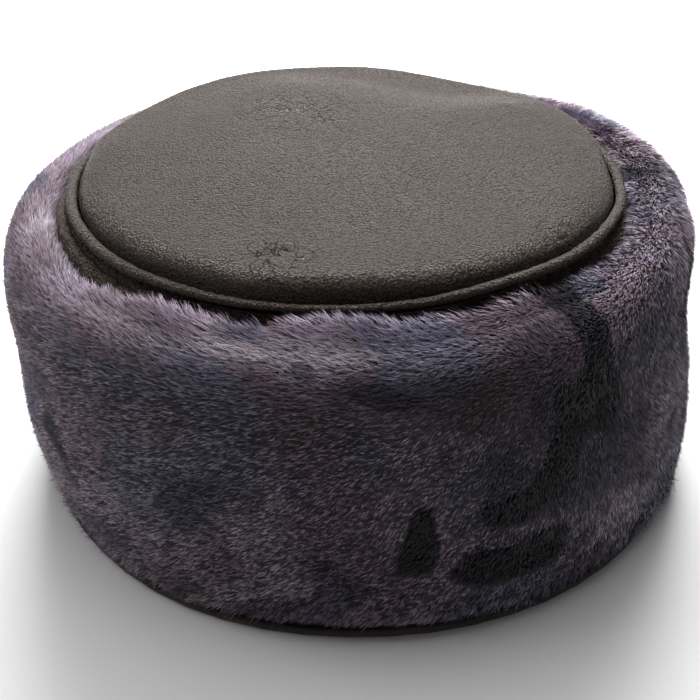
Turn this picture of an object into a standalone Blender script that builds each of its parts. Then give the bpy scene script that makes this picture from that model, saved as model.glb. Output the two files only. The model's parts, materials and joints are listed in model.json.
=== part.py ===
"""Kubanka: a round fur hat with a low, domed leather crown.

Five sewn pieces are built here as separate closed solids:
  fur_band      plush pile on its hide, a padded ring from the hem to the crown
  hem_binding   leather strip folded over the lower edge, the face the hat rests on
  crown_side    leather strip between the pile and the piping, turned down inside the band
  crown_welt    round leather piping along the rim of the crown
  crown_tip     domed leather top with a turned edge

Sizes are in millimetres and become metres where meshes are made. X runs along the
head, front at -X and back at +X, and Z is up. An azimuth of 0 degrees is at +X.
"""
import math
from collections import namedtuple

import bmesh
import bpy
from mathutils import Vector

MM = 0.001

# Plan ovals. Half lengths lie along X, and each oval is a little shorter along Y.
BULGE_HALF_LENGTH = 119.4
BULGE_HALF_WIDTH = 109.8
RIM_HALF_LENGTH = 89.5
RIM_HALF_WIDTH = 81.2
BAND_INNER_HALF_LENGTH = 100.0

# Heights of the band.
BULGE_HEIGHT = 76.5
ROLL_DEPTH = 12.6
HEM_PILE_HALF_LENGTH = 117.8
HEM_ROUNDING = 2.0
HEM_ROUNDING_HEIGHT = 12.0

# Stance: the crown leans to the front, and the whole is centred over the origin.
LEAN_PER_HEIGHT = -0.048
LEAN_PIVOT_HEIGHT = 50.0
CENTRE_X = -0.9
CENTRE_Y = 0.0

# Leather pieces.
LEATHER = 1.4
BINDING_HEIGHT = 3.2
BINDING_HALF_LENGTH = 116.4
BINDING_WALL = 1.5
BINDING_UPSTAND_HEIGHT = 11.0
WELT_RADIUS = 1.9
WELT_OUT = 2.2
WELT_BELOW_RIM = 0.2
SIDE_FOOT_HEIGHT = 95.0
SIDE_HEM_HEIGHT = 80.0
TIP_MIDDLE_HEIGHT = 118.6
TIP_MEAN_HEIGHT = 114.6
TIP_LIP_DEPTH = 1.2
SEAM_GAP = 0.3
BINDING_EDGE_ROUND = 1.0

# The strip under the piping starts inside it, passes below it and turns down at a shoulder.
SIDE_START_OUT = 0.9
SIDE_START_BELOW = 3.0
SIDE_SHOULDER_OUT = 3.8
SIDE_BEND = 4.0

# The outer face of the pile is a nearly upright wall and a quarter-round roll above it.
WALL_LENGTH = BULGE_HEIGHT - BINDING_HEIGHT - SEAM_GAP
ROLL_LENGTH = 32.0
PILE_EDGE_THICKNESS = 2.0

# Fineness of the meshes. The pile has one ridge and one valley for every lock.
LOCKS_AROUND = 54
FUR_STEPS = 2 * LOCKS_AROUND
CROWN_STEPS = LOCKS_AROUND
LOCK_ROWS = 11
LOCK_RELIEF = 1.1
LOCK_TIP_DROP = 1.4
LOCK_STEP = 1.2
LOCK_ROOT_SINK = 0.3
LOCK_VALLEY = 0.2
LOCK_LEAST = 0.7
LOCK_VARIETY = 0.6
CREASE_DEG = 50.0

# Shares of the way across the top of the pile and over the leather top, where the rings lie.
PILE_EDGE_SHARES = (0.0, 0.35, 0.7, 1.0)
PILE_EDGE_CALM = 0.6
TIP_TURNED_SHARES = (0.0, 0.05, 0.2, 0.5, 1.0)
TIP_LEVEL_SHARES = (0.25, 0.5, 0.75)

# Stations round the hat. Heights are of the crown's rim, of the leather just inside its
# turned edge and of the pile's roll; fur_out and fur_below place the pile's inner edge
# from the rim; tip_edge is the width of the turned edge; hem_out widens the lower band.
Station = namedtuple(
    "Station", "azimuth rim_height tip_height tip_edge fur_top fur_out fur_below hem_out")
STATIONS = [
    Station(0, 105.5, 114.5, 12, 104.6, 5.0, 4.0, -2.2),
    Station(30, 108.0, 113.0, 13, 102.4, 5.0, 4.5, 0.0),
    Station(60, 105.5, 108.8, 13, 96.8, 5.0, 5.0, 0.0),
    Station(90, 108.0, 110.4, 12, 97.6, 5.5, 5.5, 0.0),
    Station(120, 109.0, 112.4, 12, 97.6, 5.5, 5.5, 0.0),
    Station(150, 106.5, 113.0, 12, 99.4, 7.0, 5.5, 0.0),
    Station(180, 108.0, 115.5, 11, 101.2, 9.5, 8.0, 0.6),
    Station(210, 109.5, 117.5, 10, 101.8, 9.5, 7.5, 0.8),
    Station(240, 111.0, 119.0, 9, 103.2, 6.5, 4.5, 1.8),
    Station(270, 112.0, 119.6, 9, 104.0, 4.6, 2.8, 0.8),
    Station(300, 113.0, 119.4, 9, 104.4, 6.0, 4.5, 1.2),
    Station(330, 110.5, 117.5, 10, 105.0, 7.5, 5.5, 0.6),
]
HEM_FADE_HEIGHT = 60.0

# Dents in the pile have a depth above zero, and fuller places one below zero.
FurDent = namedtuple("FurDent", "azimuth height depth spread_deg spread_height")
FUR_DENTS = [
    FurDent(azimuth=304, height=78, depth=2.2, spread_deg=18, spread_height=11),
    FurDent(azimuth=338, height=80, depth=3.2, spread_deg=17, spread_height=13),
    FurDent(azimuth=4, height=62, depth=4.6, spread_deg=22, spread_height=16),
    FurDent(azimuth=18, height=92, depth=-1.8, spread_deg=20, spread_height=9),
    FurDent(azimuth=338, height=20, depth=-1.8, spread_deg=16, spread_height=18),
    FurDent(azimuth=202, height=34, depth=-2.4, spread_deg=20, spread_height=18),
    FurDent(azimuth=126, height=62, depth=1.6, spread_deg=20, spread_height=20),
    FurDent(azimuth=78, height=34, depth=-1.2, spread_deg=18, spread_height=16),
    FurDent(azimuth=52, height=84, depth=1.4, spread_deg=14, spread_height=12),
    FurDent(azimuth=258, height=48, depth=-0.9, spread_deg=20, spread_height=20),
]
BACK_SEAM_DEPTH = 2.0
BACK_SEAM_SPREAD_DEG = 2.6

# Soft folds and hollows of the leather top, placed in plan.
TipDent = namedtuple("TipDent", "x y depth spread")
TIP_DENTS = [
    TipDent(x=-20, y=56, depth=-1.8, spread=18),
    TipDent(x=28, y=60, depth=1.6, spread=14),
    TipDent(x=58, y=40, depth=-1.4, spread=12),
    TipDent(x=-18, y=16, depth=1.2, spread=15),
    TipDent(x=-24, y=-58, depth=0.9, spread=11),
    TipDent(x=34, y=-22, depth=0.8, spread=18),
    TipDent(x=-56, y=20, depth=-0.8, spread=16),
    TipDent(x=60, y=-38, depth=0.9, spread=10),
]


def ease(fraction):
    """Go from 0 to 1 with a level start and end."""
    return 0.5 - 0.5 * math.cos(math.pi * fraction)


def around(column, azimuth_deg):
    """Read a column of STATIONS at any azimuth, eased from row to row."""
    step = 360.0 / len(STATIONS)
    place = (azimuth_deg % 360.0) / step
    row = int(place)
    first = getattr(STATIONS[row % len(STATIONS)], column)
    second = getattr(STATIONS[(row + 1) % len(STATIONS)], column)
    return first + (second - first) * ease(place - row)


def turn_between(azimuth_a, azimuth_b):
    """Smallest angle in degrees from one azimuth to another."""
    return abs((azimuth_a - azimuth_b + 180.0) % 360.0 - 180.0)


def scatter(*numbers):
    """A repeatable value from 0 to 1 for whole numbers, to keep the locks from being alike."""
    mixed = sum(number * weight for number, weight in zip(numbers, (12.9898, 78.233)))
    return (math.sin(mixed) * 43758.5453) % 1.0


def half_width(half_length):
    """Width of the oval of a given length, in proportion between the rim and the bulge."""
    share = (half_length - RIM_HALF_LENGTH) / (BULGE_HALF_LENGTH - RIM_HALF_LENGTH)
    return RIM_HALF_WIDTH + share * (BULGE_HALF_WIDTH - RIM_HALF_WIDTH)


def on_oval(half_length, height, azimuth_deg):
    """A point in metres on the oval of a half length at a height, with the hat's lean."""
    turn = math.radians(azimuth_deg)
    x = half_length * math.cos(turn) + LEAN_PER_HEIGHT * (height - LEAN_PIVOT_HEIGHT)
    y = half_width(half_length) * math.sin(turn)
    return Vector((x - CENTRE_X, y - CENTRE_Y, height)) * MM


def side_slope_height(half_length, azimuth_deg):
    """Height of the outer face of the crown side, from its foot to under the welt."""
    foot = BAND_INNER_HALF_LENGTH - SEAM_GAP
    head = RIM_HALF_LENGTH + WELT_OUT
    head_height = around("rim_height", azimuth_deg) - WELT_BELOW_RIM - WELT_RADIUS - SEAM_GAP
    share = (foot - half_length) / (foot - head)
    return SIDE_FOOT_HEIGHT + share * (head_height - SIDE_FOOT_HEIGHT)


def hem_widening(height, azimuth_deg):
    """How far the band stands out past its oval near the hem, fading upwards."""
    return around("hem_out", azimuth_deg) * max(0.0, 1.0 - height / HEM_FADE_HEIGHT)


def pile_face(run, azimuth_deg):
    """Half length and height on the pile's outer face, a run in mm up from the hem."""
    if run < WALL_LENGTH:
        height = BINDING_HEIGHT + SEAM_GAP + run
        rise = (height - BINDING_HEIGHT) / (BULGE_HEIGHT - BINDING_HEIGHT)
        bow = (BULGE_HALF_LENGTH - HEM_PILE_HALF_LENGTH) * math.sin(rise * math.pi / 2)
        tuck = max(0.0, (HEM_ROUNDING_HEIGHT - height) / HEM_ROUNDING_HEIGHT)
        wider = hem_widening(height, azimuth_deg)
        return HEM_PILE_HALF_LENGTH + bow + wider - HEM_ROUNDING * tuck ** 2, height
    turn = min(1.0, (run - WALL_LENGTH) / ROLL_LENGTH) * math.pi / 2
    half_length = BULGE_HALF_LENGTH - ROLL_DEPTH * (1.0 - math.cos(turn))
    rise = around("fur_top", azimuth_deg) - BULGE_HEIGHT
    return half_length, BULGE_HEIGHT + rise * math.sin(turn)


def pile_dent(height, azimuth_deg):
    """Depth of the soft dents and of the back seam's furrow at one place on the band."""
    depth = 0.0
    for dent in FUR_DENTS:
        across = turn_between(azimuth_deg, dent.azimuth) / dent.spread_deg
        up = (height - dent.height) / dent.spread_height
        depth += dent.depth * math.exp(-across * across - up * up)
    furrow = turn_between(azimuth_deg, 0.0) / BACK_SEAM_SPREAD_DEG
    return depth + BACK_SEAM_DEPTH * math.exp(-furrow * furrow)


def pile_point(run, relief, azimuth_deg):
    """A point on the pile, raised by its relief and lowered by the dents there."""
    before = pile_face(run - 0.5, azimuth_deg)
    after = pile_face(run + 0.5, azimuth_deg)
    half_length, height = pile_face(run, azimuth_deg)
    along = Vector((after[0] - before[0], after[1] - before[1])).normalized()
    out = relief - pile_dent(height, azimuth_deg)
    return half_length + out * along.y, height - out * along.x


def lock_shape(step, row):
    """How far this step of a row stands out: 1 on a lock's ridge, near 0 in a valley."""
    ridge = 1.0 if (step + row) % 2 == 0 else LOCK_VALLEY
    return ridge * (LOCK_LEAST + LOCK_VARIETY * scatter(step, row))


def fur_section(step):
    """Closed section of the band at one step: outer locks, roll, edge at the crown, hide."""
    azimuth = 360.0 * step / FUR_STEPS
    bottom = BINDING_HEIGHT + SEAM_GAP
    row_length = (WALL_LENGTH + ROLL_LENGTH) / LOCK_ROWS
    section = [(BAND_INNER_HALF_LENGTH, bottom)]

    for row in range(LOCK_ROWS):
        shape = lock_shape(step, row)
        tip_run = row * row_length - (LOCK_TIP_DROP * shape if row else 0.0)
        section.append(pile_point(tip_run, LOCK_RELIEF * shape if row else 0.0, azimuth))
        root_run = (row + 1) * row_length - LOCK_STEP - LOCK_TIP_DROP
        root_relief = LOCK_ROOT_SINK * (lock_shape(step + 1, row) - 1.0)
        section.append(pile_point(root_run, root_relief, azimuth))

    peak = (BULGE_HALF_LENGTH - ROLL_DEPTH, around("fur_top", azimuth))
    edge_length = RIM_HALF_LENGTH + around("fur_out", azimuth)
    edge_height = around("rim_height", azimuth) - around("fur_below", azimuth)
    least_height = side_slope_height(edge_length, azimuth) + PILE_EDGE_THICKNESS
    edge_height = max(edge_height, least_height)
    for number, share in enumerate(PILE_EDGE_SHARES):
        puff = LOCK_RELIEF * lock_shape(step, LOCK_ROWS + number) * (1.0 - PILE_EDGE_CALM * share)
        height = peak[1] + (edge_height - peak[1]) * ease(share)
        section.append((peak[0] + (edge_length - peak[0]) * share, height + puff))

    under = side_slope_height(edge_length, azimuth) + 2 * SEAM_GAP
    section.append((edge_length + SEAM_GAP, under))
    section.append((BAND_INNER_HALF_LENGTH, SIDE_FOOT_HEIGHT))
    section.append((BAND_INNER_HALF_LENGTH, BULGE_HEIGHT / 2))
    return [on_oval(half_length, height, azimuth) for half_length, height in section]


def binding_section(step):
    """Closed L-shaped section of the hem binding, with a rounded outer edge."""
    azimuth = 360.0 * step / CROWN_STEPS
    inside = BAND_INNER_HALF_LENGTH - SEAM_GAP - BINDING_WALL
    outside = BINDING_HALF_LENGTH + hem_widening(0.0, azimuth)
    edge = BINDING_EDGE_ROUND
    section = [(inside, 0.0), (outside - edge, 0.0), (outside, edge)]
    section += [(outside, BINDING_HEIGHT - edge), (outside - edge, BINDING_HEIGHT)]
    section += [(inside + BINDING_WALL, BINDING_HEIGHT)]
    section += [(inside + BINDING_WALL, BINDING_UPSTAND_HEIGHT)]
    section += [(inside, BINDING_UPSTAND_HEIGHT)]
    return [on_oval(half_length, height, azimuth) for half_length, height in section]


def side_section(step):
    """Open outer line of the crown side, from under the welt down inside the band."""
    azimuth = 360.0 * step / CROWN_STEPS
    rim = RIM_HALF_LENGTH
    rim_height = around("rim_height", azimuth)
    wall = BAND_INNER_HALF_LENGTH - SEAM_GAP
    shoulder = rim + SIDE_SHOULDER_OUT
    under_welt = rim_height - WELT_BELOW_RIM - WELT_RADIUS - SEAM_GAP
    section = [(rim + SIDE_START_OUT, rim_height - SIDE_START_BELOW)]
    section += [(rim + WELT_OUT, under_welt)]
    section += [(shoulder, side_slope_height(shoulder, azimuth) - SEAM_GAP)]
    section += [(wall - SEAM_GAP, side_slope_height(wall - SEAM_GAP, azimuth) - SEAM_GAP)]
    section += [(wall, SIDE_FOOT_HEIGHT - SIDE_BEND), (wall, SIDE_HEM_HEIGHT)]
    return [on_oval(half_length, height, azimuth) for half_length, height in section]


def tip_height(share, azimuth_deg):
    """Height of the leather top; share is 1 at the rim and 0 at the middle."""
    rim_height = around("rim_height", azimuth_deg)
    shoulder = around("tip_height", azimuth_deg)
    level = 1.0 - edge_share(azimuth_deg)
    if share > level:
        inward = (1.0 - share) / (1.0 - level)
        height = rim_height + (shoulder - rim_height) * math.sqrt(1.0 - (1.0 - inward) ** 2)
    else:
        inward = 1.0
        outward = share / level
        dome = (TIP_MEAN_HEIGHT - TIP_MIDDLE_HEIGHT) * outward ** 2
        height = TIP_MIDDLE_HEIGHT + dome + (shoulder - TIP_MEAN_HEIGHT) * outward ** 5
    turn = math.radians(azimuth_deg)
    x = RIM_HALF_LENGTH * share * math.cos(turn)
    y = RIM_HALF_WIDTH * share * math.sin(turn)
    dent = 0.0
    for row in TIP_DENTS:
        distance = math.hypot(x - row.x, y - row.y) / row.spread
        dent += row.depth * math.exp(-distance * distance)
    return height - dent * inward


def tip_rings():
    """Rings of the leather top from its lip at the rim to near the middle."""
    lip = []
    for azimuth in crown_azimuths():
        height = around("rim_height", azimuth) - TIP_LIP_DEPTH
        lip.append(on_oval(RIM_HALF_LENGTH, height, azimuth))
    rings = [lip]
    for turned in TIP_TURNED_SHARES:
        rings.append([tip_point(1.0 - turned * edge_share(azimuth), azimuth)
                      for azimuth in crown_azimuths()])
    for inward in TIP_LEVEL_SHARES:
        rings.append([tip_point((1.0 - inward) * (1.0 - edge_share(azimuth)), azimuth)
                      for azimuth in crown_azimuths()])
    return rings


def edge_share(azimuth_deg):
    """Width of the leather top's turned edge as a share of the way to the middle."""
    return around("tip_edge", azimuth_deg) / RIM_HALF_LENGTH


def tip_point(share, azimuth_deg):
    """A point of the leather top at a share of the way from the middle to the rim."""
    turn = math.radians(azimuth_deg)
    height = tip_height(share, azimuth_deg)
    x = RIM_HALF_LENGTH * share * math.cos(turn) + LEAN_PER_HEIGHT * (height - LEAN_PIVOT_HEIGHT)
    y = RIM_HALF_WIDTH * share * math.sin(turn)
    return Vector((x - CENTRE_X, y - CENTRE_Y, height)) * MM


def crown_azimuths():
    """Azimuths at which the crown's pieces have their sections."""
    return [360.0 * step / CROWN_STEPS for step in range(CROWN_STEPS)]


def leather_or_pile(name, colour, roughness):
    """A plain finish for one piece."""
    material = bpy.data.materials.new(name)
    material.use_nodes = True
    shader = material.node_tree.nodes["Principled BSDF"]
    shader.inputs["Base Color"].default_value = (*colour, 1.0)
    shader.inputs["Roughness"].default_value = roughness
    shader.inputs["Metallic"].default_value = 0.0
    return material


def add_object(name, data, material, home):
    """Put a mesh or a curve into the hat's collection with its finish."""
    piece = bpy.data.objects.new(name, data)
    data.materials.append(material)
    home.objects.link(piece)
    return piece


def loft_round(name, sections, closed_section):
    """Mesh through sections that go round the hat and meet again at the start."""
    sheet = bmesh.new()
    columns = [[sheet.verts.new(point) for point in section] for section in sections]
    rows = len(sections[0])
    for number, column in enumerate(columns):
        following = columns[(number + 1) % len(columns)]
        for row in range(rows if closed_section else rows - 1):
            upper = (row + 1) % rows
            sheet.faces.new((column[row], following[row], following[upper], column[upper]))
    bmesh.ops.recalc_face_normals(sheet, faces=sheet.faces)
    mesh = bpy.data.meshes.new(name)
    sheet.to_mesh(mesh)
    sheet.free()
    return mesh


def shade_round(mesh):
    """Smooth shading, with edges sharper than an angle kept crisp."""
    mesh.shade_smooth()
    mesh.set_sharp_from_angle(angle=math.radians(CREASE_DEG))


def give_wall(piece, thickness):
    """Turn an open leather surface into a wall that grows inwards."""
    wall = piece.modifiers.new("leather_wall", "SOLIDIFY")
    wall.thickness = thickness * MM
    wall.offset = -1.0
    wall.use_even_offset = True


def build_fur_band(material, home):
    """Padded pile ring with staggered locks."""
    mesh = loft_round("fur_band", [fur_section(step) for step in range(FUR_STEPS)], True)
    shade_round(mesh)
    return add_object("fur_band", mesh, material, home)


def build_hem_binding(material, home):
    """Folded leather edge under the band."""
    sections = [binding_section(step) for step in range(CROWN_STEPS)]
    mesh = loft_round("hem_binding", sections, True)
    shade_round(mesh)
    return add_object("hem_binding", mesh, material, home)


def build_crown_side(material, home):
    """Leather strip between the pile and the piping."""
    sections = [side_section(step) for step in range(CROWN_STEPS)]
    mesh = loft_round("crown_side", sections, False)
    outward_faces(mesh)
    shade_round(mesh)
    piece = add_object("crown_side", mesh, material, home)
    give_wall(piece, LEATHER)
    return piece


def build_crown_welt(material, home):
    """Piping: a round cord along the rim of the crown."""
    path = bpy.data.curves.new("crown_welt", "CURVE")
    path.dimensions = "3D"
    path.twist_mode = "Z_UP"
    path.bevel_depth = WELT_RADIUS * MM
    path.bevel_resolution = 2
    line = path.splines.new("POLY")
    line.points.add(CROWN_STEPS - 1)
    line.use_cyclic_u = True
    for point, azimuth in zip(line.points, crown_azimuths()):
        height = around("rim_height", azimuth) - WELT_BELOW_RIM
        point.co = (*on_oval(RIM_HALF_LENGTH + WELT_OUT, height, azimuth), 1.0)
    return add_object("crown_welt", path, material, home)


def build_crown_tip(material, home):
    """Domed leather top: rings from the lip to the middle, given a wall."""
    sheet = bmesh.new()
    rings = [[sheet.verts.new(point) for point in ring] for ring in tip_rings()]
    middle = sheet.verts.new(tip_point(0.0, 0.0))
    for outer, inner in zip(rings, rings[1:]):
        for step in range(CROWN_STEPS):
            after = (step + 1) % CROWN_STEPS
            sheet.faces.new((outer[step], outer[after], inner[after], inner[step]))
    for step in range(CROWN_STEPS):
        sheet.faces.new((rings[-1][step], rings[-1][(step + 1) % CROWN_STEPS], middle))
    mesh = bpy.data.meshes.new("crown_tip")
    sheet.to_mesh(mesh)
    sheet.free()
    outward_faces(mesh)
    shade_round(mesh)
    piece = add_object("crown_tip", mesh, material, home)
    give_wall(piece, LEATHER)
    return piece


def outward_faces(mesh):
    """Make the faces of an open shell look away from the middle of the hat."""
    core = Vector((0.0, 0.0, 0.5 * BULGE_HEIGHT * MM))
    total = sum((face.center - core).dot(face.normal) * face.area for face in mesh.polygons)
    if total < 0.0:
        mesh.flip_normals()


def build_kubanka():
    """Clear the scene and build the hat."""
    for old in list(bpy.data.objects):
        bpy.data.objects.remove(old, do_unlink=True)
    home = bpy.data.collections.new("kubanka")
    bpy.context.scene.collection.children.link(home)

    pile = leather_or_pile("mottled_pile", (0.055, 0.045, 0.055), 0.9)
    leather = leather_or_pile("crown_leather", (0.07, 0.062, 0.052), 0.5)
    edging = leather_or_pile("binding_leather", (0.024, 0.014, 0.011), 0.6)

    build_fur_band(pile, home)
    build_hem_binding(edging, home)
    build_crown_side(leather, home)
    build_crown_welt(leather, home)
    build_crown_tip(leather, home)


build_kubanka()
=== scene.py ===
# %% [markdown]
# # A kubanka in mottled plush and leather
# A kubanka is a round hat: a low leather crown inside a deep, upright band of plush. The pieces
# were already built at their true size as plain solids. This lesson gives them their looks:
# a padded band with some 330,000 bent fibres standing on it, a domed leather top with grain
# and creases, a round piping with needle puckers, and a thin leather edge round the bottom.

# %% Load the frame
import json
import math

import bpy
import numpy as np
from mathutils import Matrix, Vector

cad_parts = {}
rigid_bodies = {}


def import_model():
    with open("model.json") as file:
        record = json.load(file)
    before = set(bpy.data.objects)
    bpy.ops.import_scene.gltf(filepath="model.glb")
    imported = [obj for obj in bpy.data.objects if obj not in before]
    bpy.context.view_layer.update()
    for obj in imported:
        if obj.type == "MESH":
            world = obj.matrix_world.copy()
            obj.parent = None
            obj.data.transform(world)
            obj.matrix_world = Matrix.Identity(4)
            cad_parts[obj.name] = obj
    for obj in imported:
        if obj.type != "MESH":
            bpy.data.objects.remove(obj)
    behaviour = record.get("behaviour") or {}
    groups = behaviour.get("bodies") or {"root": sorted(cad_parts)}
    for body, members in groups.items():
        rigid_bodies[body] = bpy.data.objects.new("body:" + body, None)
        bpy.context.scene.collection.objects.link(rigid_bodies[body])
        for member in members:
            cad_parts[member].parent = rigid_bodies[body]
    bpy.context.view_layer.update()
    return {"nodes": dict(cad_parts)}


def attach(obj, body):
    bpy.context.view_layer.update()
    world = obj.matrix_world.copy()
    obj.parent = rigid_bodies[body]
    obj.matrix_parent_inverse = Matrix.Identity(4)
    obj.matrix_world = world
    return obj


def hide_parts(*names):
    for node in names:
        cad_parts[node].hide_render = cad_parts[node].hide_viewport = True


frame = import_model()
MM = 0.001

# %% [markdown]
# ## The camera
# The hat was seen from a little above its front, with a long lens from about half a metre.
# A camera could be aimed with a tracking constraint. Here it is turned by two plain
# rotations, because the small roll about its own axis is then a named angle too.

# %% Place the camera
IMAGE_SIDE = 700
SENSOR_WIDTH = 36.0
CAMERA_DISTANCE = 480.0 * MM
CAMERA_RISE_DEG = 35.9
CAMERA_ROLL_DEG = -0.7
CAMERA_AIM = Vector((0.0, 0.0, 50.0 * MM))
FOCAL_LENGTH_PIXELS = 1322.7
AXIS_PIXEL = (353.5, 314.7)

rise = math.radians(CAMERA_RISE_DEG)
back = Vector((0.0, -math.cos(rise), math.sin(rise)))
lens = bpy.data.cameras.new("camera")
lens.sensor_width = SENSOR_WIDTH
lens.lens = FOCAL_LENGTH_PIXELS / IMAGE_SIDE * SENSOR_WIDTH
lens.shift_x = 0.5 - AXIS_PIXEL[0] / IMAGE_SIDE
lens.shift_y = AXIS_PIXEL[1] / IMAGE_SIDE - 0.5
lens.clip_start = 10 * MM
camera = bpy.data.objects.new("camera", lens)
bpy.context.scene.collection.objects.link(camera)
aimed = Matrix.Rotation(math.pi / 2 - rise, 4, "X")
rolled = Matrix.Rotation(math.radians(CAMERA_ROLL_DEG), 4, "Z")
camera.matrix_world = Matrix.Translation(CAMERA_AIM + back * CAMERA_DISTANCE) @ aimed @ rolled
bpy.context.scene.camera = camera
print("lens", round(lens.lens, 1), "mm")

# %% [markdown]
# ## Shader sums
# A finish is a small sum of noises. Wiring it node by node is long to read, so one class
# wraps a socket and lets Python's own signs add the Math nodes. One method makes every
# other node, with its settings first and then its sockets.


# %% Wrap a socket
class Wire:
    """An output socket that can stand in a sum."""

    def __init__(self, finish, socket):
        self.finish, self.socket = finish, socket

    def _with(self, operation, *values):
        return self.finish.add("ShaderNodeMath", {"operation": operation}, *values)

    def __add__(self, other):
        return self._with("ADD", self, other)

    def __sub__(self, other):
        return self._with("SUBTRACT", self, other)

    def __rsub__(self, other):
        return self._with("SUBTRACT", other, self)

    def __mul__(self, other):
        return self._with("MULTIPLY", self, other)

    def __truediv__(self, other):
        return self._with("DIVIDE", self, other)

    def __pow__(self, other):
        return self._with("POWER", self, other)

    __radd__, __rmul__ = __add__, __mul__

    def between(self, low, high):
        """0 below low, 1 above high and smooth between."""
        settings = {"interpolation_type": "SMOOTHSTEP"}
        return self.finish.add("ShaderNodeMapRange", settings, self, low, high, 0.0, 1.0)


# %% Wrap a material
class Finish:
    """A material that is written as sums of wires."""

    def __init__(self, name):
        self.material = bpy.data.materials.new(name)
        self.material.use_nodes = True
        self.tree = self.material.node_tree
        self.surface = self.tree.nodes["Principled BSDF"]

    def add(self, kind, settings, *values, output=0, **named):
        """One node: its settings, then its sockets by order or by name."""
        node = self.tree.nodes.new(kind)
        for setting, value in settings.items():
            setattr(node, setting, value)
        for place, value in list(enumerate(values)) + list(named.items()):
            self.feed(node.inputs[place], value)
        return Wire(self, node.outputs[output])

    def feed(self, socket, value):
        """Link a wire to a socket, or set the socket's own value."""
        if isinstance(value, Wire):
            self.tree.links.new(value.socket, socket)
        else:
            socket.default_value = value

    def mix(self, share, first, second, blend="MIX"):
        """A colour between two colours."""
        node = self.tree.nodes.new("ShaderNodeMix")
        node.data_type, node.blend_type = "RGBA", blend
        for place, value in zip((0, 6, 7), (share, first, second)):
            self.feed(node.inputs[place], value)
        return Wire(self, node.outputs[2])

    def noise(self, place, cell, detail=2.0, twist=0.0, rough=0.5):
        """Soft noise, with cells of a size in metres."""
        return self.add("ShaderNodeTexNoise", {}, Vector=place, Scale=1.0 / cell, Detail=detail,
                        Roughness=rough, Distortion=twist)

    def stretched(self, place, scale, turn=(0.0, 0.0, 0.0)):
        """The same place with its axes scaled and turned."""
        return self.add("ShaderNodeMapping", {}, Vector=place, Scale=scale, Rotation=turn)

    def dress(self, **sockets):
        """Set the surface's own sockets by name, with _ for each space."""
        for name, value in sockets.items():
            self.feed(self.surface.inputs[name.replace("_", " ")], value)

    def bump(self, height, distance, strength=1.0, under=None):
        """A bump of a depth in metres."""
        named = {"Height": height, "Distance": distance, "Strength": strength}
        if under is not None:
            named["Normal"] = under
        return self.add("ShaderNodeBump", {}, **named)


def tone(red, green, blue):
    """An opaque colour from 0 to 255 as seen on a screen, made linear."""
    return tuple((part / 255.0) ** 2.2 for part in (red, green, blue)) + (1.0,)


# %% [markdown]
# ## The hat's oval
# Seen from above the hat is an oval, a little longer than it is wide, and it leans slightly
# as it rises. A width divided by one ratio makes the oval a circle, so that a place on the hat
# is an azimuth, a radius and a height. Finishes and shapes below both use these numbers.

# %% Name the oval
LEAN_PER_HEIGHT = -0.048
LEAN_PIVOT_HEIGHT = 50.0 * MM
MIDDLE_X = 0.9 * MM
OVAL_RATIO = 0.9195
print("oval ratio", OVAL_RATIO)

# %% [markdown]
# ## Crown leather
# The crown is thin, dark, warm-grey leather with a fine pebble grain. The grain is under a
# millimetre wide, so it is bump: a Voronoi pebble, broken by noise. Wide soft noise changes
# its roughness, since handled leather is never evenly dull.

# %% Name the crown's leather
LEATHER_DARK = tone(14, 12, 10)
LEATHER_LIGHT = tone(66, 58, 51)
LEATHER_SHINE = (1.0, 0.82, 0.73, 1.0)
PEBBLE = 0.8 * MM
PEBBLE_DEPTH = 0.8 * MM
CRACK_CELL = 5.2 * MM
CRACKED_SPOTS = [  # x, y and reach in mm, and depth
    (-23, -66, 15, 1.8), (-18, 30, 28, 0.5), (61, -51, 9, 0.8), (20, -20, 14, 0.25),
]
LEAST_CRACK = 0.26


# %% Crack the worn spots
def fine_cracks(finish, place):
    """Thin crooked crack lines, faint all over and plain at a few worn spots."""
    crooked = finish.add("ShaderNodeVectorMath", {"operation": "MULTIPLY_ADD"},
                         finish.add("ShaderNodeTexNoise", {}, Vector=place, Scale=1 / (5 * MM), Detail=4.0,
                                    output=1), (6 * MM,) * 3, place)
    cells = finish.add("ShaderNodeTexVoronoi", {"feature": "DISTANCE_TO_EDGE"}, Vector=crooked,
                       Scale=1 / CRACK_CELL)
    flat = finish.add("ShaderNodeVectorMath", {"operation": "MULTIPLY"}, place, (1.0, 1.0, 0.0))
    worn = LEAST_CRACK
    for x, y, reach, depth in CRACKED_SPOTS:
        away = finish.add("ShaderNodeVectorMath", {"operation": "DISTANCE"}, flat, (x * MM, y * MM, 0.0),
                          output=1)
        worn = worn + (1.0 - away.between(reach * 0.2 * MM, reach * MM)) * depth
    return (1.0 - cells.between(0.0, 0.06)) * worn


# %% Sew the strip
SEAM_RADIUS = 93.0 * MM
SEAM_HALF_WIDTH = 0.7 * MM


def sewn_line(finish, place):
    """A crooked seam along the strip at the left, the short folds it gathers, and the share left."""
    parts = [finish.add("ShaderNodeSeparateXYZ", {}, place, output=n) for n in range(3)]
    x = parts[0] - MIDDLE_X - LEAN_PER_HEIGHT * (parts[2] - LEAN_PIVOT_HEIGHT)
    y = parts[1] / OVAL_RATIO
    radius = (x * x + y * y) ** 0.5
    crooked = finish.noise(place, 5 * MM, detail=3.0) * (2.0 * MM)
    away = finish.add("ShaderNodeMath", {"operation": "ABSOLUTE"}, radius - crooked - SEAM_RADIUS)
    at_left = 1.0 - parts[0].between(-60 * MM, -20 * MM)
    line = (1.0 - away.between(0.1 * MM, SEAM_HALF_WIDTH)) * at_left
    return line, finish.noise(place, 2.6 * MM, detail=3.0, twist=0.6), at_left


# %% Finish the crown's leather
TURNED_EDGE_Y = (-73 * MM, -80 * MM)


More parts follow.
